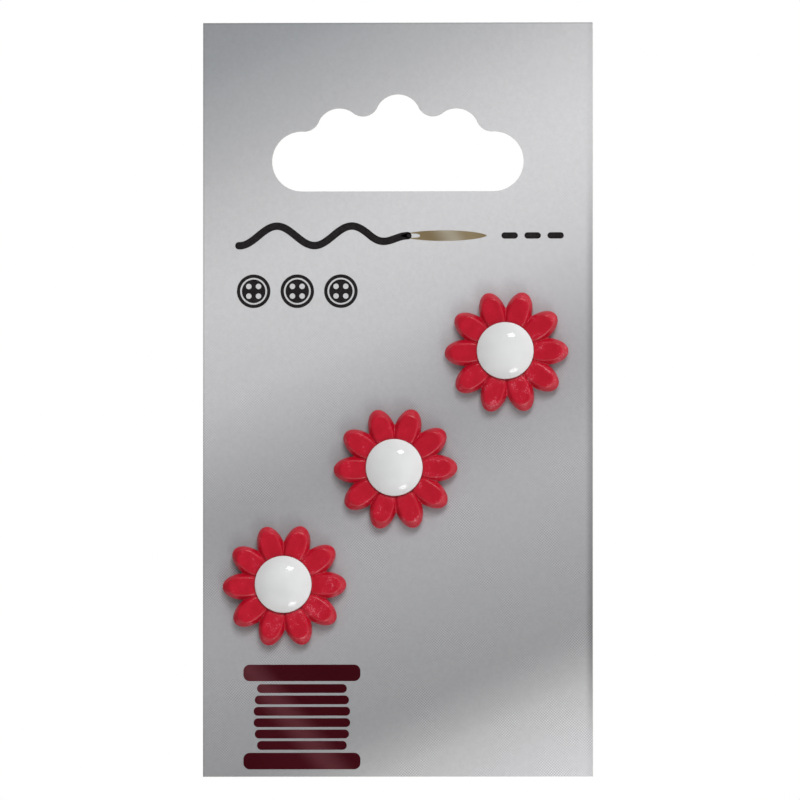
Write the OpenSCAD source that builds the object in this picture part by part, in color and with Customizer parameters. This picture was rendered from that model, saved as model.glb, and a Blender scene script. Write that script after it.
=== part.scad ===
// Card of buttons: a printed board with a hang slot that carries three two-part
// daisy buttons on a diagonal. Each button's shank goes through a punched hole,
// and a bent wire pin through the shank's eye holds it from behind.
// Millimetres. X is to the right and Z is up as the card hangs, and the printed
// face looks along -Y. The origin is where a display peg bears: the crest of the
// slot's middle arch, halfway through the board.

/* [Card] */
// Width of the board
card_w = 50; // [44:0.5:60]
// Height of the board
card_h = 96.7; // [90:0.1:120]
// Thickness of the board
card_t = 0.6; // [0.3:0.05:1]

/* [Hang slot] */
// Distance from the top edge of the board down to the crest of the slot
slot_drop = 9.2; // [6:0.1:14]
// Width of the slot from end to end
slot_w = 32.3; // [32:0.1:36]
// Height of the slot from its flat edge to the crest of the middle arch
slot_h = 12.45; // [11.8:0.05:13]
// Radius of the slot's two round ends
slot_end_r = 3.85; // [3.4:0.05:4.2]
// Radius of the middle arch
arch_r = 2.95; // [2.6:0.05:3.4]
// Radius of the two side arches
side_arch_r = 2.95; // [2.5:0.05:3.1]
// Distance from the middle of the slot to the middle of a side arch
side_arch_x = 7.5; // [7:0.05:7.7]
// How far the crests of the side arches lie below the crest of the slot
side_arch_drop = 1.8; // [1.4:0.05:2.1]
// Radius that blends each arch into the next
arch_blend_r = 2.05; // [1.5:0.05:2.4]

/* [Button places] */
// Distance of the middle button from the board's centre line, to the right
middle_x = -0.26; // [-3:0.02:3]
// Height of the middle button above the board's bottom edge
middle_up = 39.4; // [35:0.05:45]
// Step to the right from one button to the next
step_x = 14.24; // [13:0.02:16]
// Step up from one button to the next
step_z = 14.96; // [13:0.02:18]
// Angle that each button is turned on the board
button_turn = 1; // [-18:0.5:18]

/* [Petals] */
// Number of petals
petal_count = 10; // [8:1:12]
// Diameter over the tips of the petals
flower_d = 15.9; // [14:0.1:18]
// Length of a petal, part of which is under the dome
petal_len = 5.7; // [5:0.1:7]
// Width of a petal
petal_w = 3.45; // [3:0.05:3.9]
// Width of the flat on top of a petal, between its shoulders
flat_w = 2.3; // [1.8:0.05:2.6]
// How crisp the brim of the flat is: 1 rolls over into a round shoulder
brim = 1.9; // [1:0.1:3]
// Height of the flat above the board, at the middle of a petal
flat_z = 1.8; // [1.6:0.05:2.2]
// Angle at which the flat rises outwards
flat_rise = 3; // [0:0.5:6]
// Height of a petal's widest section above the board
petal_waist = 0.75; // [0.5:0.05:0.8]
// Diameter of the web that joins the petals
web_d = 11.5; // [10:0.1:12.4]
// Thickness of the web between the petals
web_t = 1.1; // [1:0.05:1.3]
// Radius on the edge of the web
web_edge_r = 0.2; // [0.1:0.05:0.5]

/* [Dome] */
// Diameter of the dome
dome_d = 7.3; // [6:0.1:8]
// Thickness of the web that is left under the dome
floor_t = 0.9; // [0.7:0.05:0.95]
// Height of the dome's straight side above the petals' flats
dome_side = 0.15; // [0.05:0.05:0.4]
// Height of the dome's crown above its straight side
dome_crown = 1.35; // [1:0.05:2.4]
// How far the dome and its pocket are set off the middle of the flower
dome_set = 0.2; // [0:0.02:0.3]
// Direction in which they are set off, from the button's right towards its top
dome_set_angle = 127; // [0:1:359]
// Clearance round the dome in its pocket
dome_gap = 0.03; // [0.02:0.01:0.08]
// Width of the countersunk rim round the dome, on average
rim_w = 0.33; // [0.3:0.01:0.5]
// Angle at which the rim slopes down towards the dome
rim_slope = 40; // [30:1:60]

/* [Shank] */
// Width of the shank, across the wire
shank_w = 3.4; // [3:0.1:4]
// Thickness of the shank, along the wire
shank_t = 2.3; // [1.8:0.1:3]
// Diameter of the shank's eye
eye_d = 1.6; // [1.3:0.1:1.8]
// Clearance between the front of the wire and the edge of the eye
eye_gap = 0.1; // [0.05:0.05:0.3]
// Clearance round the shank in the board's punched hole
hole_gap = 0.3; // [0.1:0.05:0.6]

/* [Wire pin] */
// Diameter of the wire
wire_d = 0.8; // [0.6:0.05:1]
// Length of the straight leg that goes through the eye
leg_len = 11; // [9:0.1:14]
// Length of the straight part of the leg that returns beside the shank
return_len = 8; // [6:0.1:10]
// Angle at which the returning leg's end flares outwards
flare_angle = 25; // [10:1:40]
// Radius of that flare, at the middle of the wire
flare_r = 2.5; // [1.5:0.1:4]
// Clearance of the wire from the board and from the shank's side
wire_gap = 0.03; // [0.02:0.01:0.1]

/* [Hidden] */

$fn = 96;
over = 1;    // how far a cutter runs past the face that it opens
bite = 0.02; // how far a blend in the slot's outline cuts into what it joins, so that the two cross

// Card and slot
front_y = -card_t / 2;
card_bottom = slot_drop - card_h;
end_x = slot_w / 2 - slot_end_r;
end_z = -slot_h + slot_end_r;
band_top = end_z + slot_end_r;
arch_mid = [0, -arch_r];
side_mid = [side_arch_x, -side_arch_drop - side_arch_r];

// Button places on the board, from the lowest to the highest
places = [for (i = [-1:1])
    [middle_x + i * step_x, card_bottom + middle_up + i * step_z]];
lower_place = places[0];
middle_place = places[1];
upper_place = places[2];

// Petals and dome on the button's own axis, with z = 0 at the board
tip_r = flower_d / 2;
petal_mid = tip_r - petal_len / 2;
shoulder_h = flat_z - petal_waist;
dome_r = dome_d / 2;
pocket_r = dome_r + dome_gap;
rim_r = dome_r + rim_w;
side_top = flat_z + dome_side;
crown_r = (dome_r * dome_r + dome_crown * dome_crown) / (2 * dome_crown);

// Shank and pin behind the board
wire_r = wire_d / 2;
wire_z = -(card_t + wire_gap + wire_r);
eye_z = wire_z + wire_r + eye_gap - eye_d / 2;
shank_end_r = shank_w / 2;
hole_r = norm([shank_w, shank_t]) / 2 + hole_gap;
bend_r = (shank_end_r + wire_gap + wire_r) / 2;

// The point at distance da from a and db from b, to the left of a line from a to b
function apex(a, da, b, db) =
    let (d = norm(b - a),
         u = (b - a) / d,
         along = (da * da - db * db + d * d) / (2 * d),
         across = sqrt(da * da - along * along))
    a + along * u + across * [-u[1], u[0]];

// The right half of the scalloped hang slot
module half_slot() {
    reach = arch_blend_r - bite;
    valley = apex(arch_mid, arch_r + reach, side_mid, side_arch_r + reach);
    foot_z = band_top + reach;
    foot_x = side_mid[0] + sqrt(pow(side_arch_r + reach, 2) - pow(foot_z - side_mid[1], 2));
    difference() {
        union() {
            translate([0, -slot_h]) square([end_x, 2 * slot_end_r]);
            translate([end_x, end_z]) circle(slot_end_r);
            translate(arch_mid) circle(arch_r);
            translate(side_mid) circle(side_arch_r);
            polygon([[0, end_z], arch_mid, valley, side_mid, [foot_x, foot_z], [foot_x, end_z]]);
        }
        translate(valley) circle(arch_blend_r);
        translate([foot_x, foot_z]) circle(arch_blend_r);
    }
}

module hang_slot() {
    half_slot();
    mirror([1, 0]) half_slot();
}

// The board, with the slot and a punched hole for each shank
module hang_card() {
    color("silver")
    translate([0, card_t / 2, 0]) rotate([90, 0, 0]) linear_extrude(card_t)
    difference() {
        translate([-card_w / 2, card_bottom]) square([card_w, card_h]);
        hang_slot();
        for (place = places) translate(place) circle(hole_r);
    }
}

// Stands a piece of a button on the board's face
module on_card(place) {
    translate([place[0], front_y, place[1]]) rotate([90, 0, 0]) rotate(button_turn) children();
}

// A disc of radius 1 whose side is an arc, cut off flat above and below
module cushion(arc_r, half_h) {
    core_r = 1 - arc_r;
    rotate_extrude() {
        translate([0, -half_h]) square([core_r, 2 * half_h]);
        intersection() {
            translate([core_r, 0]) circle(arc_r);
            translate([core_r / 2, -half_h]) square([1, 2 * half_h]);
        }
    }
}

// One petal along +X: the cushion stretched to an oval with a flat on top
module petal() {
    arc_r = brim * (1 - flat_w / petal_w);
    half_h = arc_r * sqrt(1 - pow(1 - 1 / brim, 2));
    translate([petal_mid, 0, petal_waist]) rotate([0, -flat_rise, 0])
    scale([petal_len / 2, petal_w / 2, shoulder_h / half_h]) cushion(arc_r, half_h);
}

// The web between the petals, with its front edge rounded
module web() {
    rotate_extrude() {
        square([web_d / 2 - web_edge_r, web_t]);
        square([web_d / 2, web_t - web_edge_r]);
        translate([web_d / 2 - web_edge_r, web_t - web_edge_r]) circle(web_edge_r);
    }
}

// The shank: a rounded tab with an eye through its thickness
module shank() {
    translate([-shank_t / 2, 0, 0]) rotate([90, 0, 90]) linear_extrude(shank_t)
    difference() {
        union() {
            translate([-shank_end_r, eye_z]) square([shank_w, -eye_z]);
            translate([0, eye_z]) circle(shank_end_r);
        }
        translate([0, eye_z]) circle(eye_d / 2);
    }
}

// Moves the dome and its pocket off the middle of the flower
module set_off() {
    rotate(dome_set_angle) translate([dome_set, 0, 0]) children();
}

// The cone that countersinks the rim of the pocket, from the petals' flats down
module rim_cutter() {
    rim_h = flat_z + over - floor_t;
    deep_r = rim_r - (flat_z - floor_t) / tan(rim_slope);
    translate([0, 0, floor_t]) cylinder(r1 = deep_r, r2 = deep_r + rim_h / tan(rim_slope), h = rim_h);
}

// The petals, web and shank, moulded as one piece
module petals() {
    color("crimson") {
        difference() {
            union() {
                web();
                for (i = [0:petal_count - 1]) rotate(i * 360 / petal_count) petal();
            }
            set_off() translate([0, 0, floor_t]) cylinder(r = pocket_r, h = flat_z + over);
            rim_cutter();
            translate([0, 0, -shoulder_h - over]) cylinder(r = tip_r + over, h = shoulder_h + over);
        }
        shank();
    }
}

// The dome that is set into the petals
module dome() {
    color("white") set_off()
    rotate_extrude() {
        translate([0, floor_t]) square([dome_r, side_top - floor_t]);
        intersection() {
            translate([0, side_top + dome_crown - crown_r]) circle(crown_r);
            translate([0, side_top]) square([dome_r, dome_crown]);
        }
    }
}

// The bent wire: a leg through the eye, a round bend and a leg beside the shank
module pin() {
    bend_x = leg_len / 2;
    flare_x = bend_x - return_len;
    color("gainsboro")
    translate([0, 0, wire_z]) {
        translate([-bend_x, 0, 0]) rotate([0, 90, 0]) cylinder(r = wire_r, h = leg_len);
        translate([bend_x, -bend_r, 0]) rotate(-90)
            rotate_extrude(angle = 180) translate([bend_r, 0]) circle(wire_r);
        translate([flare_x, -2 * bend_r, 0]) rotate([0, 90, 0]) cylinder(r = wire_r, h = return_len);
        translate([flare_x, -2 * bend_r - flare_r, 0]) rotate(90)
            rotate_extrude(angle = flare_angle) translate([flare_r, 0]) circle(wire_r);
    }
}

hang_card();
on_card(upper_place) petals();  // upper_petals
on_card(upper_place) dome();  // upper_dome
on_card(upper_place) pin();  // upper_pin
on_card(middle_place) petals();  // middle_petals
on_card(middle_place) dome();  // middle_dome
on_card(middle_place) pin();  // middle_pin
on_card(lower_place) petals();  // lower_petals
on_card(lower_place) dome();  // lower_dome
on_card(lower_place) pin();  // lower_pin
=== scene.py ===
import math

import bmesh
import bpy
import numpy as np
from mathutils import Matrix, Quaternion, Vector


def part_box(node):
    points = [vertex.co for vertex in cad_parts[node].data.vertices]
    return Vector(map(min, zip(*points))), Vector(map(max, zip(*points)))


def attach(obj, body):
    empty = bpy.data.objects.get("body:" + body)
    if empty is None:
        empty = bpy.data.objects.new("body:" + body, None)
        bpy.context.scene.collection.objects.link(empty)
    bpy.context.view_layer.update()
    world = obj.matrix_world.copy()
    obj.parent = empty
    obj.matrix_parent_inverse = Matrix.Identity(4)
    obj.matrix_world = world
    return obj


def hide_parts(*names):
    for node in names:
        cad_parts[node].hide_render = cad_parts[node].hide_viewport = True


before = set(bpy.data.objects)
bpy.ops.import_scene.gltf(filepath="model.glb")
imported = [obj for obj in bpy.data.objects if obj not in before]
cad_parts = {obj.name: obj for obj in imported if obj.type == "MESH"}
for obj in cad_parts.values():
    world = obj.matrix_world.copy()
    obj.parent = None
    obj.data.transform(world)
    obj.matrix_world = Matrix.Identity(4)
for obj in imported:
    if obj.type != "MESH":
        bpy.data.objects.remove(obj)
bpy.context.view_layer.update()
mm = 0.001
places = ("upper", "middle", "lower")
cardLow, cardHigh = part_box("hang_card")
cardMiddle = (cardLow + cardHigh) / 2
print("frame loaded:", len(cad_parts), "nodes")


def linear(code):
    # sRGB hex to the linear colour that the shaders take
    parts = [int(code[i:i + 2], 16) / 255 for i in (1, 3, 5)]
    return [p / 12.92 if p <= 0.04045 else ((p + 0.055) / 1.055) ** 2.4 for p in parts] + [1.0]


def addNode(tree, kind, inputs=None, stops=None, **settings):
    node = tree.nodes.new(kind)
    for name, value in settings.items():
        setattr(node, name, value)
    for key, value in (inputs or {}).items():
        if isinstance(value, bpy.types.NodeSocket):
            tree.links.new(value, node.inputs[key])
        else:
            node.inputs[key].default_value = value
    if stops:
        ramp = node.color_ramp
        while len(ramp.elements) < len(stops):
            ramp.elements.new(1.0)
        for element, (position, colour) in zip(ramp.elements, stops):
            element.position = position
            element.color = linear(colour)
    return node


def newMaterial(name):
    material = bpy.data.materials.new(name)
    material.use_nodes = True
    tree = material.node_tree
    tree.nodes.clear()
    shader = addNode(tree, "ShaderNodeBsdfPrincipled")
    addNode(tree, "ShaderNodeOutputMaterial", {"Surface": shader.outputs["BSDF"]})
    place = addNode(tree, "ShaderNodeTexCoord").outputs["Object"]
    return material, tree, shader, place


def perMetre(size):
    # texture scale for features of this many millimetres
    return 1 / (size * mm)


def addPiece(name, mesh, materials, slot, *replaced):
    piece = bpy.data.objects.new(name, mesh)
    bpy.context.scene.collection.objects.link(piece)
    for material in materials:
        mesh.materials.append(material)
    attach(piece, "root")
    if replaced:
        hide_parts(*replaced)
    return piece


# Board: coated on the printed face, plain on the back, grey pulp where it is cut
boardLook = {
    "sheenSlope": 0.45,      # mm down for each mm to the right along a band of the sheen
    "sheen": [               # mm across the bands, from the top left corner, and the print's tone
        (0, "#97999d"), (9, "#a5a7aa"), (21, "#c0c0c2"), (33, "#d1d1d3"), (45, "#cdcdcf"),
        (52, "#c2c2c5"), (64, "#a7a7aa"), (78, "#adadb0"), (97, "#9c9c9e"), (102, "#a2a1a3"),
        (107, "#bbbbbc"), (119, "#d5d4d7")],
    "sideLightLift": 0.13,        # painted light: how much lighter the print gets from the left edge to the right
    "dotPitch": 0.36,        # mm, drawn coarser than a real 0.17 mm screen so that it shows
    "dotTurn": 4.0,          # degrees
    "dotContrast": 0.3,
    "dotFade": 0.2,          # share of the dots' contrast in the upper part of the board
    "dotFadeFrom": 10.0,     # mm above and below the board's middle, where the dots get stronger
    "dotFadeTo": -8.0,
    "patch": 6.0,            # mm, size of the patches where the dots show more
    "patchRange": (0.42, 0.62),  # noise values between which the dots come in
    "grain": 0.5,            # mm
    "grainContrast": 0.1,
    "edgeShadeLine": 0.24,       # mm, painted shade: a thin dark line along the left and top edges
    "edgeShadeCore": 0.6,        # share of the line that is darkest
    "edgeShadeTone": 0.84,
    "curlShade": 1.1,             # mm, width of the strip of painted shade where the right edge bends back
    "curlShadeEdge": 0.1,         # mm, part of the strip that is darkest
    "curlShadeTone": [            # share of the way down, and how dark the strip is there
        (0.0, 0.91), (0.17, 0.91), (0.3, 0.74), (0.43, 0.69), (0.57, 0.68), (0.7, 0.62), (0.83, 0.62),
        (0.95, 0.89), (1.0, 0.93)],
    "gloss": (0.42, 0.52),   # roughness, from the glossiest spots to the dullest
    "fibre": 0.35,           # mm
    "edgeRound": 0.05,       # mm
    "edgeAngle": 60.0,       # degrees, corners sharper than this are softened
}
pulpLook = {
    "backLight": "#dcdad5",
    "backDark": "#c4c1bb",
    "backFibre": 0.5,        # mm
    "cutLight": "#d9d7d2",
    "cutDark": "#b3b0aa",
    "cutFibre": 0.18,        # mm
    "cutStretch": (0.4, 3, 0.4),     # lays the fibres along the sheet
    "fleck": 1.6,            # mm, from one dark fleck to the next
    "fleckRange": (0.03, 0.1),   # core and edge of a fleck, as shares of that
    "fleckTone": 0.8,
}


def printedBoard():
    # Clay-coated carton with a litho print: a smooth, half-matt silver-grey with a fine dot screen, painted
    # light towards the right and painted shade along the edges
    look = boardLook
    material, tree, shader, place = newMaterial("clay-coated carton, litho printed silver")
    axes = addNode(tree, "ShaderNodeSeparateXYZ", {0: place})
    acrossX = addNode(tree, "ShaderNodeMath", {0: axes.outputs["X"], 1: look["sheenSlope"],
                      2: cardHigh.z - cardLow.x * look["sheenSlope"]}, operation="MULTIPLY_ADD")
    across = addNode(tree, "ShaderNodeMath", {0: acrossX.outputs[0], 1: axes.outputs["Z"]},
                     operation="SUBTRACT")
    span = look["sheen"][-1][0] * mm
    share = addNode(tree, "ShaderNodeMapRange", {"Value": across.outputs[0], "From Max": span})
    sheen = addNode(tree, "ShaderNodeValToRGB", {"Fac": share.outputs[0]},
                    [(at * mm / span, tone) for at, tone in look["sheen"]])
    sheen.color_ramp.interpolation = "CARDINAL"
    # a screen of dots on the diagonals, stronger in some patches and weak in the upper part
    scaled = addNode(tree, "ShaderNodeMapping", {"Vector": place,
                     "Rotation": (0, math.radians(look["dotTurn"]), 0),
                     "Scale": [2 * math.pi * perMetre(look["dotPitch"])] * 3})
    scaledAxes = addNode(tree, "ShaderNodeSeparateXYZ", {0: scaled.outputs[0]})
    waves = [addNode(tree, "ShaderNodeMath", {0: scaledAxes.outputs[axis]}, operation="SINE")
             for axis in ("X", "Z")]
    dots = addNode(tree, "ShaderNodeMath", {0: waves[0].outputs[0], 1: waves[1].outputs[0]},
                   operation="MULTIPLY")
    patches = addNode(tree, "ShaderNodeTexNoise", {"Vector": place, "Scale": perMetre(look["patch"]),
                      "Detail": 2.0})
    weak, strong = look["patchRange"]
    strength = addNode(tree, "ShaderNodeMapRange", {"Value": patches.outputs["Fac"], "From Min": weak,
                       "From Max": strong, "To Max": look["dotContrast"]})
    fade = addNode(tree, "ShaderNodeMapRange", {"Value": axes.outputs["Z"],
                   "From Min": cardMiddle.z + look["dotFadeFrom"] * mm,
                   "From Max": cardMiddle.z + look["dotFadeTo"] * mm,
                   "To Min": look["dotFade"], "To Max": 1.0})
    faded = addNode(tree, "ShaderNodeMath", {0: strength.outputs[0], 1: fade.outputs[0]},
                    operation="MULTIPLY")
    screen = addNode(tree, "ShaderNodeMath", {0: dots.outputs[0], 1: faded.outputs[0], 2: 1.0},
                     operation="MULTIPLY_ADD")
    grain = addNode(tree, "ShaderNodeTexNoise", {"Vector": place, "Scale": perMetre(look["grain"]),
                    "Detail": 3.0, "Roughness": 0.75})
    speckle = addNode(tree, "ShaderNodeMapRange", {"Value": grain.outputs["Fac"],
                      "To Min": 1 - look["grainContrast"], "To Max": 1 + look["grainContrast"]})
    # painted light, lighter towards the right edge
    lift = addNode(tree, "ShaderNodeMapRange", {"Value": axes.outputs["X"],
                   "From Min": cardLow.x, "From Max": cardHigh.x,
                   "To Min": 1 - look["sideLightLift"] / 2, "To Max": 1 + look["sideLightLift"] / 2})
    shades = [speckle, lift]
    # painted shade: a thin dark line at the left and the top, then the strip at the right where the edge
    # bends back
    line = look["edgeShadeLine"] * mm
    for axis, edge, inward in (("X", cardLow.x, line), ("Z", cardHigh.z, -line)):
        shades.append(addNode(tree, "ShaderNodeMapRange", {"Value": axes.outputs[axis],
                      "From Min": edge + inward * look["edgeShadeCore"], "From Max": edge + inward,
                      "To Min": look["edgeShadeTone"], "To Max": 1.0}))
    # the strip of painted shade at the right, darker part way down
    down = addNode(tree, "ShaderNodeMapRange", {"Value": axes.outputs["Z"], "From Min": cardHigh.z,
                   "From Max": cardLow.z})
    curlShadeTone = addNode(tree, "ShaderNodeFloatCurve", {"Value": down.outputs[0]})
    curve = curlShadeTone.mapping.curves[0]
    curve.points[0].location, curve.points[1].location = look["curlShadeTone"][0], look["curlShadeTone"][-1]
    for at, tone in look["curlShadeTone"][1:-1]:
        curve.points.new(at, tone)
    curlShadeTone.mapping.update()
    shades.append(addNode(tree, "ShaderNodeMapRange", {"Value": axes.outputs["X"],
                  "From Min": cardHigh.x - look["curlShade"] * mm, "From Max": cardHigh.x - look["curlShadeEdge"] * mm,
                  "To Min": 1.0, "To Max": curlShadeTone.outputs[0]}, interpolation_type="SMOOTHSTEP"))
    # the dots, the grain, the painted light and the painted shade scale the print's colour
    screenAndShade = screen
    for shade in shades:
        screenAndShade = addNode(tree, "ShaderNodeMath", {0: screenAndShade.outputs[0], 1: shade.outputs[0]},
                          operation="MULTIPLY")
    inkAndShade = addNode(tree, "ShaderNodeMix", {"Factor": 1.0, 6: sheen.outputs["Color"],
                    7: screenAndShade.outputs[0]}, data_type="RGBA", blend_type="MULTIPLY")
    tree.links.new(inkAndShade.outputs[2], shader.inputs["Base Color"])
    glossy, dull = look["gloss"]
    gloss = addNode(tree, "ShaderNodeMapRange", {"Value": patches.outputs["Fac"],
                    "To Min": glossy, "To Max": dull})
    tree.links.new(gloss.outputs[0], shader.inputs["Roughness"])
    fibre = addNode(tree, "ShaderNodeTexNoise", {"Vector": place, "Scale": perMetre(look["fibre"]),
                    "Detail": 4.0})
    relief = addNode(tree, "ShaderNodeBump", {"Height": fibre.outputs["Fac"], "Strength": 0.15,
                     "Distance": 0.01 * mm})
    tree.links.new(relief.outputs[0], shader.inputs["Normal"])
    shader.inputs["IOR"].default_value = 1.5
    shader.inputs["Specular IOR Level"].default_value = 0.3
    return material


def plainBoard(name, light, dark, fibre, stretch):
    # Recycled pulp: matt, warm grey-white, with fibres and dark flecks pressed into it
    material, tree, shader, place = newMaterial(name)
    laid = addNode(tree, "ShaderNodeMapping", {"Vector": place, "Scale": stretch})
    fibres = addNode(tree, "ShaderNodeTexNoise", {"Vector": laid.outputs[0], "Scale": perMetre(fibre),
                     "Detail": 6.0, "Distortion": 1.2})
    tone = addNode(tree, "ShaderNodeValToRGB", {"Fac": fibres.outputs["Fac"]},
                   [(0.25, dark), (0.6, light)])
    flecks = addNode(tree, "ShaderNodeTexVoronoi", {"Vector": place, "Scale": perMetre(pulpLook["fleck"])})
    core, rim = pulpLook["fleckRange"]
    fleck = addNode(tree, "ShaderNodeMapRange", {"Value": flecks.outputs["Distance"], "From Min": core,
                    "From Max": rim, "To Min": pulpLook["fleckTone"], "To Max": 1.0})
    pulp = addNode(tree, "ShaderNodeMix", {"Factor": 1.0, 6: tone.outputs["Color"],
                   7: fleck.outputs[0]}, data_type="RGBA", blend_type="MULTIPLY")
    tree.links.new(pulp.outputs[2], shader.inputs["Base Color"])
    relief = addNode(tree, "ShaderNodeBump", {"Height": fibres.outputs["Fac"], "Strength": 0.4,
                     "Distance": 0.02 * mm})
    tree.links.new(relief.outputs[0], shader.inputs["Normal"])
    shader.inputs["Roughness"].default_value = 0.85
    shader.inputs["IOR"].default_value = 1.5
    return material


def makeBoard():
    # the board's own solid with its die-cut edges softened
    mesh = bpy.data.meshes.new("hangBoard")
    shape = bmesh.new()
    shape.from_mesh(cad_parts["hang_card"].data)
    bmesh.ops.remove_doubles(shape, verts=shape.verts, dist=1e-4 * mm)
    sharp = math.radians(boardLook["edgeAngle"])
    cut = [edge for edge in shape.edges if edge.calc_face_angle(0) > sharp]
    bmesh.ops.bevel(shape, geom=cut, offset=boardLook["edgeRound"] * mm, segments=2,
                    profile=0.5, affect="EDGES", clamp_overlap=True)
    facing = 0.95            # share of a normal along Y that makes a face part of the front or the back
    for face in shape.faces:
        face.material_index = 0 if face.normal.y < -facing else 1 if face.normal.y > facing else 2
        face.smooth = face.material_index == 2
    shape.to_mesh(mesh)
    shape.free()
    look = pulpLook
    back = plainBoard("uncoated carton back, pressed", look["backLight"], look["backDark"],
                      look["backFibre"], (1, 1, 1))
    pulp = plainBoard("carton pulp, die cut", look["cutLight"], look["cutDark"],
                      look["cutFibre"], look["cutStretch"])
    addPiece("hangBoard", mesh, [printedBoard(), back, pulp], "printed_board", "hang_card")


makeBoard()
print("board made")

# Flower: the same form as the solid, with soft creases (mm, from the board's face up)
flower = {
    "petals": 10,
    "turn": 1.0,             # degrees
    "tipRadius": 7.95,
    "petalLength": 5.7,
    "petalWidth": 3.45,
    "flatMiddle": 5.25,      # the flat on a petal, from the middle of the flower
    "flatLength": 3.6,
    "flatWidth": 2.3,
    "flatBlunt": 3.0,        # 2 gives the flat an oval outline, more gives it a blunter end
    "flatHeight": 1.8,
    "flatRise": 3.0,         # degrees
    "waist": 0.75,           # height at which a petal is widest
    "webRadius": 5.65,       # the web that joins the petals
    "webHeight": 1.1,
    "webEdge": 0.2,          # radius of the web's edge
    "pocketRadius": 3.66,
    "pocketFloor": 0.9,
    "rimRadius": 4.02,       # the countersunk rim of the pocket, at the flats
    "rimSlope": 24.0,        # degrees
    "sideReach": 1.9,        # 1 gives a round shoulder, more gives a crisper brim
    "sideRound": 1.35,       # 2 gives the sides an oval profile, less gives a straighter slope
    "flankRange": (0.35, 1.3),   # how far a side may reach out past the flat
    "dish": 0.05,            # how far a flat sinks inside its brim
    "brimBlend": 0.2,        # widths over which surfaces run into each other
    "valleyBlend": 0.12,
    "rimBlend": 0.26,
    "pocketBlend": 0.03,
    "backBlend": 0.06,
    "meshStep": 0.09,
    "settlings": 5,          # moves of each point onto the surface
    "evenings": 2,           # rounds that even the points out over it
}
shank = {
    "width": 3.4,
    "thickness": 2.3,
    "eyeRadius": 0.8,
    "eyeDrop": 1.33,         # from the back of the flower to the middle of the eye
    "rootBlend": 0.15,
    "edgeBlend": 0.2,
}


def setOff():
    # how far the dome lies off the middle of its flower, in the flower's own millimetres
    middles = [sum(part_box(places[0] + piece), Vector()) / 2 for piece in ("_petals", "_dome")]
    away, turn = (middles[1] - middles[0]) / mm, math.radians(flower["turn"])
    return (away.x * math.cos(turn) + away.z * math.sin(turn),
            away.z * math.cos(turn) - away.x * math.sin(turn))


domeSet = setOff()


def smoothUnion(a, b, width):
    share = np.clip(0.5 + 0.5 * (b - a) / width, 0, 1)
    return b + (a - b) * share - width * share * (1 - share)


def smoothCut(body, cutter, width):
    return -smoothUnion(-body, cutter, width)


def beyondOutline(along, across, halfLength, halfWidth, blunt):
    # about the distance to an oval outline from outside it, and the share of the oval that is reached
    a, b = np.abs(along) / halfLength, np.abs(across) / halfWidth
    share = (a ** blunt + b ** blunt) ** (1 / blunt) + 1e-6
    slope = np.hypot(a ** (blunt - 1) / halfLength, b ** (blunt - 1) / halfWidth) * share ** (1 - blunt)
    flattest = 0.3           # keeps the middle of the oval from growing without end
    return (share - 1) / np.maximum(slope, flattest), share


def petalField(x, y, z):
    # about the distance to one petal along +X: its sides slope from an oval waist up to a blunt, dished flat
    halfLength = flower["petalLength"] / 2
    height = flower["flatHeight"] - flower["waist"]
    rise = math.radians(flower["flatRise"])
    middle = flower["tipRadius"] - halfLength
    out, above = x - middle, z - flower["waist"]
    along = out * math.cos(rise) + above * math.sin(rise)
    up = above * math.cos(rise) - out * math.sin(rise)
    pastWaist, _ = beyondOutline(along, y, halfLength, flower["petalWidth"] / 2, 2.0)
    pastFlat, share = beyondOutline(along + middle - flower["flatMiddle"], y, flower["flatLength"] / 2,
                                    flower["flatWidth"] / 2, flower["flatBlunt"])
    flank = np.clip(pastFlat - pastWaist, *flower["flankRange"])
    # the side is part of an oval that stands upright at the waist and slopes at the brim
    reach, bend = flower["sideReach"], flower["sideRound"]
    peak = height / (1 - (1 - 1 / reach) ** bend) ** (1 / bend)
    beyond = np.maximum(1 + (pastFlat / flank - 1) / reach, 0)
    lift = np.abs(up) / peak
    size = (beyond ** bend + lift ** bend) ** (1 / bend) + 1e-6
    slopeOut = (beyond / size) ** (bend - 1) / (flank * reach)
    slopeUp = (lift / size) ** (bend - 1) / peak
    side = (size - 1) / (np.hypot(slopeOut, slopeUp) + 1e-3)
    top = up - height + flower["dish"] * np.clip(1 - share ** 2, 0, 1)
    return smoothCut(side, -top, flower["brimBlend"])


def buttonField(x, y, z):
    radius, angle = np.hypot(x, y), np.arctan2(y, x)
    step = 2 * math.pi / flower["petals"]
    nearest = np.round(angle / step)
    body = np.full(np.shape(x), 10.0)       # far outside
    for side in (-1, 0, 1):
        local = angle - (nearest + side) * step
        along, across = radius * np.cos(local), radius * np.sin(local)
        body = smoothUnion(body, petalField(along, across, z), flower["valleyBlend"])
    edge = flower["webEdge"]
    overRim, overTop = radius - flower["webRadius"] + edge, z - flower["webHeight"] + edge
    web = np.hypot(np.maximum(overRim, 0), np.maximum(overTop, 0)) - edge
    web = web + np.minimum(np.maximum(overRim, overTop), 0)
    body = smoothUnion(body, web, flower["valleyBlend"])
    slope = math.radians(flower["rimSlope"])
    rim = (radius - flower["rimRadius"]) * math.sin(slope) + (flower["flatHeight"] - z) * math.cos(slope)
    body = smoothCut(body, np.maximum(rim, flower["pocketFloor"] - z), flower["rimBlend"])
    pocket = np.hypot(x - domeSet[0], y - domeSet[1]) - flower["pocketRadius"]
    body = smoothCut(body, np.maximum(pocket, flower["pocketFloor"] - z), flower["pocketBlend"])
    body = smoothCut(body, z, flower["backBlend"])
    below = z + shank["eyeDrop"]
    tab = np.maximum(np.hypot(y, np.minimum(below, 0)) - shank["width"] / 2, z - flower["pocketFloor"] / 2)
    tab = smoothCut(tab, shank["thickness"] / 2 - np.abs(x), shank["edgeBlend"])
    tab = smoothCut(tab, np.hypot(y, below) - shank["eyeRadius"], shank["edgeBlend"])
    return smoothUnion(body, tab, shank["rootBlend"])


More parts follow.
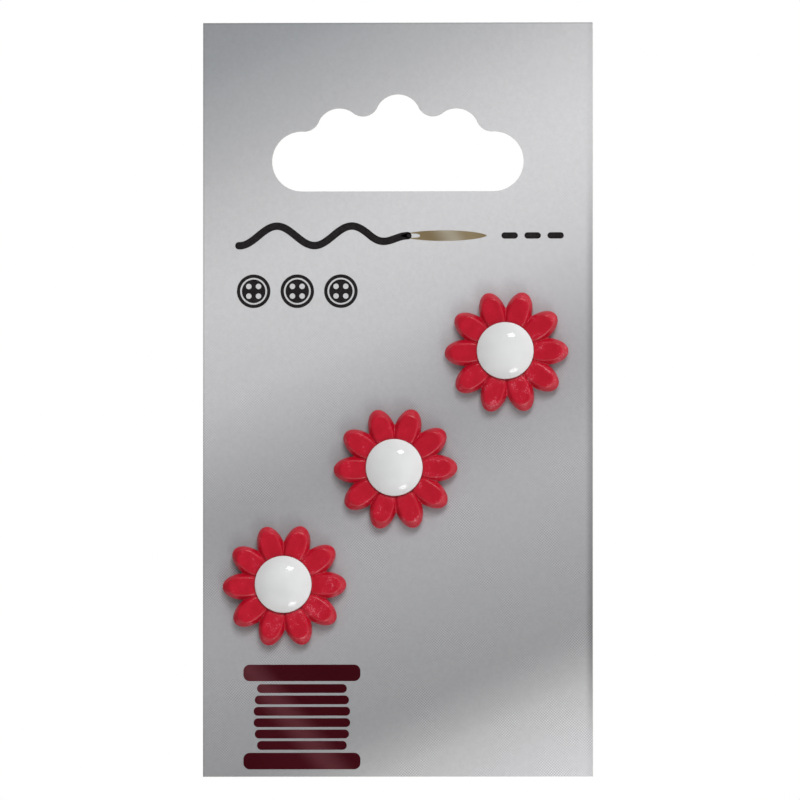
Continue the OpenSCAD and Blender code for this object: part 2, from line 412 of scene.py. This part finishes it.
def settle(field, points, step):
    # moves points onto the surface along the field's own slope
    probe = step * 0.05
    flattest = 0.04          # squared slope under which a move is held back
    for _ in range(flower["settlings"]):
        rises = [field(*(points + probe * axis).T) - field(*(points - probe * axis).T) for axis in np.eye(3)]
        slope = np.stack(rises, 1) / (2 * probe)
        steepness = np.maximum((slope ** 2).sum(1), flattest)
        move = slope * (field(*points.T) / steepness)[:, None]
        points = points - np.clip(move, -step, step)
    return points


def netOver(field, low, high, step):
    # one point in each grid cell that the surface crosses, joined by a quad across each crossed edge
    axes = [np.arange(a, b + step, step) for a, b in zip(low, high)]
    inside = field(*np.meshgrid(*axes, indexing="ij")) < 0
    nx, ny, nz = [n - 1 for n in inside.shape]
    filled = sum(inside[i:i + nx, j:j + ny, k:k + nz].astype(int) for i, j, k in np.ndindex(2, 2, 2))
    crossed = (filled > 0) & (filled < 8)
    number = np.full(crossed.shape, -1)
    number[crossed] = np.arange(crossed.sum())
    points = (np.argwhere(crossed) + 0.5) * step + np.array(low)
    quads = []
    for axis in range(3):
        size = inside.shape[axis]
        near, far = inside.take(range(size - 1), axis), inside.take(range(1, size), axis)
        at = np.argwhere(near != far)
        ring = []
        for du, dv in ((1, 1), (0, 1), (0, 0), (1, 0)):
            cell = at.copy()
            cell[:, (axis + 1) % 3] -= du
            cell[:, (axis + 2) % 3] -= dv
            ring.append(number[tuple(cell.T)])
        ring = np.stack(ring, 1)
        entering = ~near[tuple(at.T)]
        ring[entering] = ring[entering, ::-1]
        quads.append(ring)
    quads = np.concatenate(quads)
    points = settle(field, points, step)
    for _ in range(flower["evenings"]):
        total, count = np.zeros_like(points), np.zeros(len(points))
        for a, b in ((0, 1), (1, 2), (2, 3), (3, 0)):
            np.add.at(total, quads[:, a], points[quads[:, b]])
            np.add.at(count, quads[:, a], 1)
        points = settle(field, (points + total / count[:, None]) / 2, step)
    return points, quads


def onBoard(points, node):
    # from a piece's own millimetres, z towards the viewer, to its place on the board
    low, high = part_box(node)
    turn = math.radians(flower["turn"])
    x = points[:, 0] * math.cos(turn) - points[:, 1] * math.sin(turn)
    up = points[:, 0] * math.sin(turn) + points[:, 1] * math.cos(turn)
    middle = (low + high) / 2
    return np.stack([middle.x + x * mm, cardLow.y - points[:, 2] * mm, middle.z + up * mm], 1)


def solidMesh(name, points, faces):
    mesh = bpy.data.meshes.new(name)
    mesh.from_pydata(points.tolist(), [], [list(face) for face in faces])
    mesh.shade_smooth()
    return mesh


petalLook = {
    "deep": "#b70824",
    "bright": "#c20e2b",
    "scuff": "#e27d8d",
    "mottle": 1.3,           # mm
    "peel": 0.3,             # mm, orange peel of the mould
    "grit": 0.09,            # mm
    "glintSize": 0.17,       # mm
    "glintRange": (0.39, 0.46),  # noise values between which a painted glint comes in
    "scuffStrength": 0.42,
    "litSide": -50.0,         # degrees, the lit side of the flowers, which gets most of the painted glints
    "litSideShare": 0.06,     # how much that side adds to the noise
    "gloss": (0.22, 0.4),
}


def mouldedNylon():
    # Injection-moulded nylon: deep red, satin, with a faint orange peel and a few pale specks of painted
    # glint
    look = petalLook
    material, tree, shader, place = newMaterial("red nylon, injection moulded")
    mottle = addNode(tree, "ShaderNodeTexNoise", {"Vector": place, "Scale": perMetre(look["mottle"]),
                     "Detail": 3.0})
    red = addNode(tree, "ShaderNodeValToRGB", {"Fac": mottle.outputs["Fac"]},
                  [(0.35, look["deep"]), (0.65, look["bright"])])
    speckGrain = addNode(tree, "ShaderNodeTexNoise", {"Vector": place, "Scale": perMetre(look["glintSize"]),
                     "Detail": 2.0})
    glintNoise = addNode(tree, "ShaderNodeMath", {0: speckGrain.outputs["Fac"], 1: mottle.outputs["Fac"]},
                   operation="MULTIPLY")
    litSide = addNode(tree, "ShaderNodeAttribute", attribute_name="litSide")
    glintLevel = addNode(tree, "ShaderNodeMath", {0: litSide.outputs["Fac"], 1: look["litSideShare"],
                    2: glintNoise.outputs[0]}, operation="MULTIPLY_ADD")
    faint, clear = look["glintRange"]
    glintShare = addNode(tree, "ShaderNodeMapRange", {"Value": glintLevel.outputs[0], "From Min": faint,
                      "From Max": clear, "To Max": look["scuffStrength"]})
    # painted glints: pale specks mixed into the red, more of them on the lit side
    skin = addNode(tree, "ShaderNodeMix", {"Factor": glintShare.outputs[0], 6: red.outputs["Color"],
                   7: linear(look["scuff"])}, data_type="RGBA")
    tree.links.new(skin.outputs[2], shader.inputs["Base Color"])
    glossy, dull = look["gloss"]
    gloss = addNode(tree, "ShaderNodeMapRange", {"Value": speckGrain.outputs["Fac"],
                    "To Min": glossy, "To Max": dull})
    tree.links.new(gloss.outputs[0], shader.inputs["Roughness"])
    peel = addNode(tree, "ShaderNodeTexNoise", {"Vector": place, "Scale": perMetre(look["peel"]),
                   "Detail": 2.0})
    grit = addNode(tree, "ShaderNodeTexNoise", {"Vector": place, "Scale": perMetre(look["grit"]),
                   "Detail": 2.0})
    wavy = addNode(tree, "ShaderNodeBump", {"Height": peel.outputs["Fac"], "Strength": 0.5,
                   "Distance": 0.02 * mm})
    rough = addNode(tree, "ShaderNodeBump", {"Height": grit.outputs["Fac"], "Strength": 0.3,
                    "Distance": 0.008 * mm, "Normal": wavy.outputs[0]})
    tree.links.new(rough.outputs[0], shader.inputs["Normal"])
    shader.inputs["IOR"].default_value = 1.53
    return material


def makePetals():
    nylon = mouldedNylon()
    # the grid has a few steps of room on each side
    reach = flower["tipRadius"] + 3 * flower["meshStep"]
    lowest = -shank["eyeDrop"] - shank["width"] / 2 - 3 * flower["meshStep"]
    highest = flower["flatHeight"] + 6 * flower["meshStep"]
    points, quads = netOver(buttonField, (-reach, -reach, lowest), (reach, reach, highest),
                            flower["meshStep"])
    # 1 on the lit side that gets most painted glints, 0 on the other
    around = np.arctan2(points[:, 1], points[:, 0])
    litSide = np.clip(0.5 + np.cos(around - math.radians(petalLook["litSide"])), 0, 1)
    for place in places:
        mesh = solidMesh(place + "Petals", onBoard(points, place + "_petals"), quads)
        mesh.attributes.new("litSide", "FLOAT", "POINT").data.foreach_set("value", litSide)
        addPiece(place + "Petals", mesh, [nylon], "petal_plastic", place + "_petals")
    print("petals made:", len(quads) * 2, "triangles each")


makePetals()

# Dome: turned profile with a small radius at its foot and at its shoulder (mm)
dome = {
    "radius": 3.65,
    "foot": 0.9,             # height of the pocket's floor, on which it sits
    "sideTop": 1.95,         # height at which the upright side would meet the ball of the crown
    "crown": 1.35,           # rise of the ball above that
    "footRound": 0.1,
    "footSteps": 5,
    "shoulderRound": 0.25,
    "shoulderSteps": 7,
    "rings": 44,
    "spokes": 160,
    "sharpAngle": 40.0,      # degrees, corners sharper than this aren't shaded smooth
}
domeLook = {
    "tone": "#e5e6e6",
    "shade": "#e0e1e1",
    "flow": 3.0,             # mm, slow waves left by the mould's polish
    "gloss": (0.07, 0.13),
}


def polishedAcrylic():
    # Polished acrylic: cool white and very glossy, so that each lamp shows as a clean spot
    look = domeLook
    material, tree, shader, place = newMaterial("white acrylic, moulded and polished")
    flow = addNode(tree, "ShaderNodeTexNoise", {"Vector": place, "Scale": perMetre(look["flow"]),
                   "Detail": 1.0})
    white = addNode(tree, "ShaderNodeValToRGB", {"Fac": flow.outputs["Fac"]},
                    [(0.35, look["shade"]), (0.65, look["tone"])])
    tree.links.new(white.outputs["Color"], shader.inputs["Base Color"])
    waves = addNode(tree, "ShaderNodeBump", {"Height": flow.outputs["Fac"], "Strength": 0.05,
                    "Distance": 0.02 * mm})
    tree.links.new(waves.outputs[0], shader.inputs["Normal"])
    glossy, dull = look["gloss"]
    gloss = addNode(tree, "ShaderNodeMapRange", {"Value": flow.outputs["Fac"],
                    "To Min": glossy, "To Max": dull})
    tree.links.new(gloss.outputs[0], shader.inputs["Roughness"])
    shader.inputs["IOR"].default_value = 1.49
    return material


def arcPoints(x, up, radius, slants):
    # points of an arc round (x, up), where a slant of 0 is straight up and a right angle is straight out
    return [(x + radius * math.sin(slant), up + radius * math.cos(slant)) for slant in slants]


def domeProfile():
    edge, shoulder = dome["footRound"], dome["shoulderRound"]
    ball = (dome["radius"] ** 2 + dome["crown"] ** 2) / (2 * dome["crown"])
    top = dome["sideTop"] + dome["crown"]
    # the shoulder's arc touches the straight side and the crown's ball
    start = math.asin((dome["radius"] - shoulder) / (ball - shoulder))
    shoulderUp = top - ball + (ball - shoulder) * math.cos(start)
    profile = [(0.0, dome["foot"])]
    profile += arcPoints(dome["radius"] - edge, dome["foot"] + edge, edge,
                         np.linspace(math.pi, math.pi / 2, dome["footSteps"]))
    profile += arcPoints(dome["radius"] - shoulder, shoulderUp, shoulder,
                         np.linspace(math.pi / 2, start, dome["shoulderSteps"])[:-1])
    profile += arcPoints(0, top - ball, ball, np.linspace(start, 0, dome["rings"])[:-1])
    return profile + [(0.0, top)]


def makeDomes():
    acrylic = polishedAcrylic()
    profile, spokes = domeProfile(), dome["spokes"]
    points = [(0, 0, profile[0][1])]
    for radius, height in profile[1:-1]:
        for spoke in range(spokes):
            around = 2 * math.pi * spoke / spokes
            points.append((radius * math.cos(around), radius * math.sin(around), height))
    points.append((0, 0, profile[-1][1]))
    faces = []
    tip = len(points) - 1
    last = tip - spokes
    for spoke in range(spokes):
        after = (spoke + 1) % spokes
        faces.append((0, 1 + after, 1 + spoke))
        for low in range(1, last, spokes):
            high = low + spokes
            faces.append((low + spoke, low + after, high + after, high + spoke))
        faces.append((last + spoke, last + after, tip))
    for place in places:
        mesh = solidMesh(place + "Dome", onBoard(np.array(points), place + "_dome"), faces)
        mesh.set_sharp_from_angle(angle=math.radians(dome["sharpAngle"]))
        addPiece(place + "Dome", mesh, [acrylic], "dome_plastic", place + "_dome")
    print("domes made")


makeDomes()

# Pins: the solids stay, in drawn wire
pinLook = {
    "light": "#c9cacb",
    "dark": "#9b9c9e",
    "line": 0.12,            # mm, width of the lines that the drawing die leaves
    "stretch": (0.05, 1, 1),     # draws the lines out along the wire
    "gloss": (0.18, 0.36),
}


def drawnWire():
    # Nickel-plated steel wire: bright, with fine lines along its length
    look = pinLook
    material, tree, shader, place = newMaterial("nickel-plated steel wire, drawn")
    along = addNode(tree, "ShaderNodeMapping", {"Vector": place, "Scale": look["stretch"]})
    lines = addNode(tree, "ShaderNodeTexNoise", {"Vector": along.outputs[0],
                    "Scale": perMetre(look["line"]), "Detail": 3.0})
    tone = addNode(tree, "ShaderNodeValToRGB", {"Fac": lines.outputs["Fac"]},
                   [(0.35, look["dark"]), (0.65, look["light"])])
    tree.links.new(tone.outputs["Color"], shader.inputs["Base Color"])
    glossy, dull = look["gloss"]
    gloss = addNode(tree, "ShaderNodeMapRange", {"Value": lines.outputs["Fac"],
                    "To Min": glossy, "To Max": dull})
    tree.links.new(gloss.outputs[0], shader.inputs["Roughness"])
    relief = addNode(tree, "ShaderNodeBump", {"Height": lines.outputs["Fac"], "Strength": 0.2,
                     "Distance": 0.01 * mm})
    tree.links.new(relief.outputs[0], shader.inputs["Normal"])
    shader.inputs["Metallic"].default_value = 1.0
    return material


wire = drawnWire()
for place in places:
    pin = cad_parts[place + "_pin"]
    pin.data.materials.clear()
    pin.data.materials.append(wire)
print("pins dressed")

# Print: thin films of ink and foil on the front face (mm, from the board's middle)
filmThickness = 0.02


def circleLine(x, up, radius, steps=48):
    turns = [2 * math.pi * i / steps for i in range(steps)]
    return [(x + radius * math.cos(turn), up + radius * math.sin(turn)) for turn in turns]


def roundBox(x, up, width, height, corner, steps=8):
    outline = []
    for quarter, (sx, sz) in enumerate(((1, 1), (-1, 1), (-1, -1), (1, -1))):
        for i in range(steps + 1):
            turn = math.pi / 2 * (quarter + i / steps)
            outline.append((x + sx * (width / 2 - corner) + corner * math.cos(turn),
                            up + sz * (height / 2 - corner) + corner * math.sin(turn)))
    return outline


def spindle(x, up, length, width, taper, steps=24):
    # an outline that is widest in the middle and round or pointed at both ends
    outline = []
    for i in range(2 * steps):
        turn = math.pi * i / steps
        along = length / 2 * math.cos(turn)
        side = width / 2 * math.copysign(abs(math.sin(turn)) ** (2 / taper), math.sin(turn))
        outline.append((x + along, up + side))
    return outline


def addFilm(name, outlines, material):
    curve = bpy.data.curves.new(name, "CURVE")
    curve.dimensions = "2D"
    curve.fill_mode = "BOTH"
    curve.extrude = filmThickness / 2 * mm
    for outline in outlines:
        line = curve.splines.new("POLY")
        line.points.add(len(outline) - 1)
        for point, (x, up) in zip(line.points, outline):
            point.co = (x * mm, up * mm, 0, 1)
        line.use_cyclic_u = True
    shape = bpy.data.objects.new(name, curve)
    bpy.context.scene.collection.objects.link(shape)
    bpy.context.view_layer.update()
    mesh = bpy.data.meshes.new_from_object(shape.evaluated_get(bpy.context.evaluated_depsgraph_get()))
    bpy.data.objects.remove(shape)
    depth = cardLow.y - filmThickness / 2 * mm
    for vertex in mesh.vertices:
        x, up, out = vertex.co
        vertex.co = (cardMiddle.x + x, depth - out, cardMiddle.z + up)
    mesh.name = name
    return addPiece(name, mesh, [material], "printed_board")


inkLook = {
    "tone": "#1d1a1b",
    "thin": "#2b2728",
    "mottle": 0.4,           # mm
    "gloss": (0.4, 0.6),
}
goldLook = {
    "name": "gold foil, hot stamped",
    "sweep": [(0.0, "#ccb68c"), (0.35, "#fbefd6"), (0.6, "#e0cba2"), (1.0, "#ccb68c")],
    "slant": 0.6,            # radians, of the sweeps of light
    "length": 7.0,           # mm, of one sweep
    "wrinkle": 0.25,         # mm, of the pressed grain
    "gloss": (0.45, 0.65),
}
maroonLook = {
    "name": "maroon foil, hot stamped",
    "sweep": [(0.0, "#7c2532"), (0.4, "#8a2d3b"), (0.55, "#b5606b"), (0.7, "#842937"), (1.0, "#7c2532")],
    "slant": 0.7,
    "length": 18.0,
    "wrinkle": 0.25,
    "gloss": (0.25, 0.45),
}


def blackInk():
    # Offset ink: near black, half-matt, a little uneven where the board took it up
    look = inkLook
    material, tree, shader, place = newMaterial("black offset ink, printed")
    mottle = addNode(tree, "ShaderNodeTexNoise", {"Vector": place, "Scale": perMetre(look["mottle"]),
                     "Detail": 4.0})
    tone = addNode(tree, "ShaderNodeValToRGB", {"Fac": mottle.outputs["Fac"]},
                   [(0.4, look["tone"]), (0.75, look["thin"])])
    tree.links.new(tone.outputs["Color"], shader.inputs["Base Color"])
    glossy, dull = look["gloss"]
    gloss = addNode(tree, "ShaderNodeMapRange", {"Value": mottle.outputs["Fac"],
                    "To Min": glossy, "To Max": dull})
    tree.links.new(gloss.outputs[0], shader.inputs["Roughness"])
    shader.inputs["Specular IOR Level"].default_value = 0.2
    return material


def stampedFoil(look):
    # Hot-stamped foil: a thin metal film with painted reflections in soft light and dark sweeps, and a fine
    # pressed grain
    material, tree, shader, place = newMaterial(look["name"])
    swept = addNode(tree, "ShaderNodeMapping", {"Vector": place, "Rotation": (0, look["slant"], 0),
                    "Scale": [perMetre(look["length"])] * 3})
    axes = addNode(tree, "ShaderNodeSeparateXYZ", {0: swept.outputs[0]})
    sweep = addNode(tree, "ShaderNodeMath", {0: axes.outputs["X"]}, operation="FRACT")
    tone = addNode(tree, "ShaderNodeValToRGB", {"Fac": sweep.outputs[0]}, look["sweep"])
    tone.color_ramp.interpolation = "EASE"
    tree.links.new(tone.outputs["Color"], shader.inputs["Base Color"])
    grain = addNode(tree, "ShaderNodeTexNoise", {"Vector": place, "Scale": perMetre(look["wrinkle"]),
                    "Detail": 3.0})
    glossy, dull = look["gloss"]
    gloss = addNode(tree, "ShaderNodeMapRange", {"Value": grain.outputs["Fac"],
                    "To Min": glossy, "To Max": dull})
    tree.links.new(gloss.outputs[0], shader.inputs["Roughness"])
    relief = addNode(tree, "ShaderNodeBump", {"Height": grain.outputs["Fac"], "Strength": 0.25,
                     "Distance": 0.01 * mm})
    tree.links.new(relief.outputs[0], shader.inputs["Normal"])
    shader.inputs["Metallic"].default_value = 1.0
    return material


ink = blackInk()
goldFoil = stampedFoil(goldLook)
maroonFoil = stampedFoil(maroonLook)

# A wave of thread through the eye of a needle, and the stitches still to sew
thread = {
    "from": -20.4,
    "to": 1.3,
    "up": 21.0,
    "height": 1.25,
    "period": 9.6,
    "calm": 0.5,             # share of a period in which the wave dies down at the needle
    "width": 0.95,
    "steps": 160,
}
needle = {
    "x": 5.9,
    "up": 21.0,
    "length": 11.0,
    "width": 1.35,
    "taper": 1.6,            # 2 gives round ends, less gives pointed ones
    "steps": 40,
    "eyeAt": -3.9,
    "eyeLength": 1.7,
    "eyeWidth": 0.55,
    "eyeTaper": 3.0,
}
stitches = {
    "first": 13.7,
    "up": 21.0,
    "pitch": 2.95,
    "count": 3,
    "length": 2.1,
    "width": 0.8,
}
# Three flat buttons, each with a rim and four holes
smallButtons = {
    "first": -18.5,
    "up": 13.9,
    "pitch": 5.6,
    "count": 3,
    "radius": 2.15,
    "rim": 1.62,
    "rimWidth": 0.22,
    "holeAt": 0.62,
    "holeRadius": 0.36,
    "holeSteps": 24,
}
# A spool with turns of thread
spool = {
    "x": -12.3,
    "up": -40.7,
    "flangeWidth": 15.0,
    "flangeHeight": 2.1,
    "flangeAt": 5.65,
    "corner": 0.8,
    "barrelWidth": 11.2,
    "barrelHeight": 8.4,
    "bulge": 0.6,
    "turns": 6,
    "turnRound": 0.48,       # share of a turn's height
    "gap": 0.34,
}


def strokeLine(path, width):
    # a band of even width along a path, with round ends
    path = np.array(path)
    along = np.gradient(path, axis=0)
    along = along / np.linalg.norm(along, axis=1)[:, None]
    across = np.stack([-along[:, 1], along[:, 0]], 1) * width / 2
    capStep = 15             # degrees
    bends = np.radians(np.arange(capStep, 180, capStep))[:, None]
    endCap = path[-1] + np.cos(bends) * across[-1] + np.sin(bends) * along[-1] * width / 2
    startCap = path[0] - np.cos(bends) * across[0] - np.sin(bends) * along[0] * width / 2
    return np.concatenate([path + across, endCap, (path - across)[::-1], startCap]).tolist()


def printThread():
    run = thread["to"] - thread["from"]
    wave = []
    for x in np.linspace(0, run, thread["steps"]):
        calm = min(1.0, (run - x) / (thread["period"] * thread["calm"]))
        turn = 2 * math.pi * (x - run) / thread["period"]
        wave.append((thread["from"] + x, thread["up"] + thread["height"] * calm * math.sin(turn)))
    addFilm("threadWave", [strokeLine(wave, thread["width"])], ink)
    shaft = spindle(needle["x"], needle["up"], needle["length"], needle["width"], needle["taper"],
                    needle["steps"])
    eye = spindle(needle["x"] + needle["eyeAt"], needle["up"], needle["eyeLength"], needle["eyeWidth"],
                  needle["eyeTaper"])
    addFilm("needle", [shaft, eye], goldFoil)
    for i in range(stitches["count"]):
        x = stitches["first"] + i * stitches["pitch"]
        ends = [(x, stitches["up"]), (x + stitches["length"] - stitches["width"], stitches["up"])]
        addFilm(f"stitch{i + 1}", [strokeLine(ends, stitches["width"])], ink)


def printButtons():
    up, apart = smallButtons["up"], smallButtons["holeAt"]
    rim, half = smallButtons["rim"], smallButtons["rimWidth"] / 2
    for i in range(smallButtons["count"]):
        x = smallButtons["first"] + i * smallButtons["pitch"]
        outside, inside = circleLine(x, up, smallButtons["radius"]), circleLine(x, up, rim + half)
        addFilm(f"buttonRim{i + 1}", [outside, inside], ink)
        holes = [circleLine(x + dx * apart, up + dz * apart, smallButtons["holeRadius"],
                            smallButtons["holeSteps"]) for dx in (-1, 1) for dz in (-1, 1)]
        addFilm(f"buttonFace{i + 1}", [circleLine(x, up, rim - half)] + holes, ink)


def printSpool():
    for side, end in ((1, "top"), (-1, "bottom")):
        flange = roundBox(spool["x"], spool["up"] + side * spool["flangeAt"], spool["flangeWidth"],
                          spool["flangeHeight"], spool["corner"])
        addFilm(end + "Flange", [flange], maroonFoil)
    height = (spool["barrelHeight"] + spool["gap"]) / spool["turns"] - spool["gap"]
    for i in range(spool["turns"]):
        up = spool["up"] - spool["barrelHeight"] / 2 + i * (height + spool["gap"]) + height / 2
        bulge = spool["bulge"] * (1 - ((up - spool["up"]) / (spool["barrelHeight"] / 2)) ** 2)
        width = spool["barrelWidth"] + 2 * bulge
        turn = roundBox(spool["x"], up, width, height, height * spool["turnRound"])
        addFilm(f"threadTurn{i + 1}", [turn], maroonFoil)


printThread()
printButtons()
printSpool()
print("print made")

# Stage: pale floor, soft boxes and an even room light
stage = {
    "floorDrop": 1300,       # mm below the card, which hangs
    "floorSize": 4.0,        # m
    "floorTone": "#efefee",
    "floorTooth": 0.8,       # mm
    "roomLight": 0.28,
    "mirrorShare": 0.5,      # how much of the room's light shows in glossy things
    "wallSide": 0.55,        # how far the white behind the card comes round to the right
    "wallLow": 0.55,         # and from below, as a pale table
    "wallHigh": 0.35,        # and from above
    "wallFade": (-0.1, 0.4),     # where the dim room turns to that white
    "lampDistance": 1.4,     # m
}
# off the line of sight, round it from +X and turned about itself in degrees, size in m, level on the card,
# and whether the lamp shows in glossy things
lamps = [
    {"name": "topBox", "off": 36, "round": 84, "turn": 0, "width": 0.9, "height": 0.7,
     "level": 0.352, "mirrored": False},
    {"name": "topSpot", "off": 46, "round": 70, "turn": -11, "width": 0.42, "height": 0.25,
     "level": 0.11, "mirrored": True},
    {"name": "lowSpot", "off": 57, "round": -67, "turn": 35, "width": 0.51, "height": 0.26,
     "level": 0.059, "mirrored": True},
    {"name": "sideFill", "off": 55, "round": -40, "turn": 0, "width": 1.3, "height": 1.3,
     "level": 0.06, "mirrored": True},
]
shot = {
    "azimuth": 2.6,          # degrees to the right of square on
    "elevation": -2.2,
    "distance": 4.0,         # m
    "clipEnd": 20,           # m
    "frameWidth": 102.53,    # mm at the card
    "aimRight": 0.28,        # mm from the card's middle
    "aimUp": -0.08,
}


def layFloor():
    half = stage["floorSize"] / 2
    ground = cardLow.z - stage["floorDrop"] * mm
    corners = [(x * half, y * half, ground) for x, y in ((-1, -1), (1, -1), (1, 1), (-1, 1))]
    mesh = bpy.data.meshes.new("floor")
    mesh.from_pydata(corners, [], [(0, 1, 2, 3)])
    # Uncoated paper: matt and even, so that the floor only throws light back
    material, tree, shader, place = newMaterial("floor paper, matt white")
    tooth = addNode(tree, "ShaderNodeTexNoise", {"Vector": place, "Scale": perMetre(stage["floorTooth"]),
                    "Detail": 3.0})
    relief = addNode(tree, "ShaderNodeBump", {"Height": tooth.outputs["Fac"], "Strength": 0.1,
                     "Distance": 0.02 * mm})
    tree.links.new(relief.outputs[0], shader.inputs["Normal"])
    shader.inputs["Base Color"].default_value = linear(stage["floorTone"])
    shader.inputs["Roughness"].default_value = 0.9
    mesh.materials.append(material)
    floor = bpy.data.objects.new("floor", mesh)
    bpy.context.scene.collection.objects.link(floor)


def lightRoom():
    world = bpy.data.worlds.new("studio")
    bpy.context.scene.world = world
    world.use_nodes = True
    tree = world.node_tree
    tree.nodes.clear()
    path = addNode(tree, "ShaderNodeLightPath")
    around = addNode(tree, "ShaderNodeTexCoord").outputs["Generated"]
    way = addNode(tree, "ShaderNodeSeparateXYZ", {0: around})
    # the room in front of the card is dim, more so in mirrors and glass
    mirrored = addNode(tree, "ShaderNodeMath", {0: path.outputs["Is Glossy Ray"],
                       1: path.outputs["Is Transmission Ray"]}, operation="MAXIMUM")
    room = addNode(tree, "ShaderNodeMapRange", {"Value": mirrored.outputs[0], "To Min": stage["roomLight"],
                   "To Max": stage["roomLight"] * stage["mirrorShare"]})
    # all but the camera see the white behind the card come round to the right, below and above
    side = addNode(tree, "ShaderNodeMath", {0: way.outputs["X"], 1: stage["wallSide"], 2: way.outputs["Y"]},
                   operation="MULTIPLY_ADD")
    leans = [addNode(tree, "ShaderNodeMath", {0: way.outputs["Z"], 1: reach, 2: side.outputs[0]},
                     operation="MULTIPLY_ADD").outputs[0]
             for reach in (-stage["wallLow"], stage["wallHigh"])]
    lean = addNode(tree, "ShaderNodeMath", {0: leans[0], 1: leans[1]}, operation="MAXIMUM")
    dim, white = stage["wallFade"]
    shown = addNode(tree, "ShaderNodeMapRange", {"Value": lean.outputs[0], "From Min": dim,
                    "From Max": white, "To Min": room.outputs[0], "To Max": 1.0})
    level = addNode(tree, "ShaderNodeMapRange", {"Value": path.outputs["Is Camera Ray"],
                    "To Min": shown.outputs[0], "To Max": 1.0})
    sky = addNode(tree, "ShaderNodeBackground", {"Color": (1, 1, 1, 1), "Strength": level.outputs[0]})
    addNode(tree, "ShaderNodeOutputWorld", {"Surface": sky.outputs[0]})


def hangLamps():
    for lamp in lamps:
        off, around = math.radians(lamp["off"]), math.radians(lamp["round"])
        towards = Vector((math.sin(off) * math.cos(around), -math.cos(off),
                          math.sin(off) * math.sin(around)))
        light = bpy.data.lights.new(lamp["name"], "AREA")
        light.shape = "ELLIPSE"
        light.size, light.size_y = lamp["width"], lamp["height"]
        # the power that lights a card square to the camera to this level
        light.energy = lamp["level"] * (math.pi * stage["lampDistance"]) ** 2 / math.cos(off)
        box = bpy.data.objects.new(lamp["name"], light)
        box.location = cardMiddle + towards * stage["lampDistance"]
        turned = Quaternion((0, 0, 1), math.radians(lamp["turn"]))
        box.rotation_euler = (towards.to_track_quat("Z", "Y") @ turned).to_euler()
        box.visible_camera = False
        box.visible_glossy = lamp["mirrored"]
        bpy.context.scene.collection.objects.link(box)


def setCamera():
    camera = bpy.data.cameras.new("camera")
    camera.lens = camera.sensor_width * shot["distance"] / (shot["frameWidth"] * mm)
    camera.clip_end = shot["clipEnd"]
    view = bpy.data.objects.new("camera", camera)
    azimuth, elevation = math.radians(shot["azimuth"]), math.radians(shot["elevation"])
    back = Vector((math.sin(azimuth) * math.cos(elevation), -math.cos(azimuth) * math.cos(elevation),
                   math.sin(elevation)))
    aim = Vector((cardMiddle.x + shot["aimRight"] * mm, cardLow.y, cardMiddle.z + shot["aimUp"] * mm))
    view.location = aim + back * shot["distance"]
    view.rotation_euler = back.to_track_quat("Z", "Y").to_euler()
    bpy.context.scene.collection.objects.link(view)
    bpy.context.scene.camera = view
    bpy.context.scene.view_settings.view_transform = "Standard"


layFloor()
lightRoom()
hangLamps()
setCamera()
print("stage set")
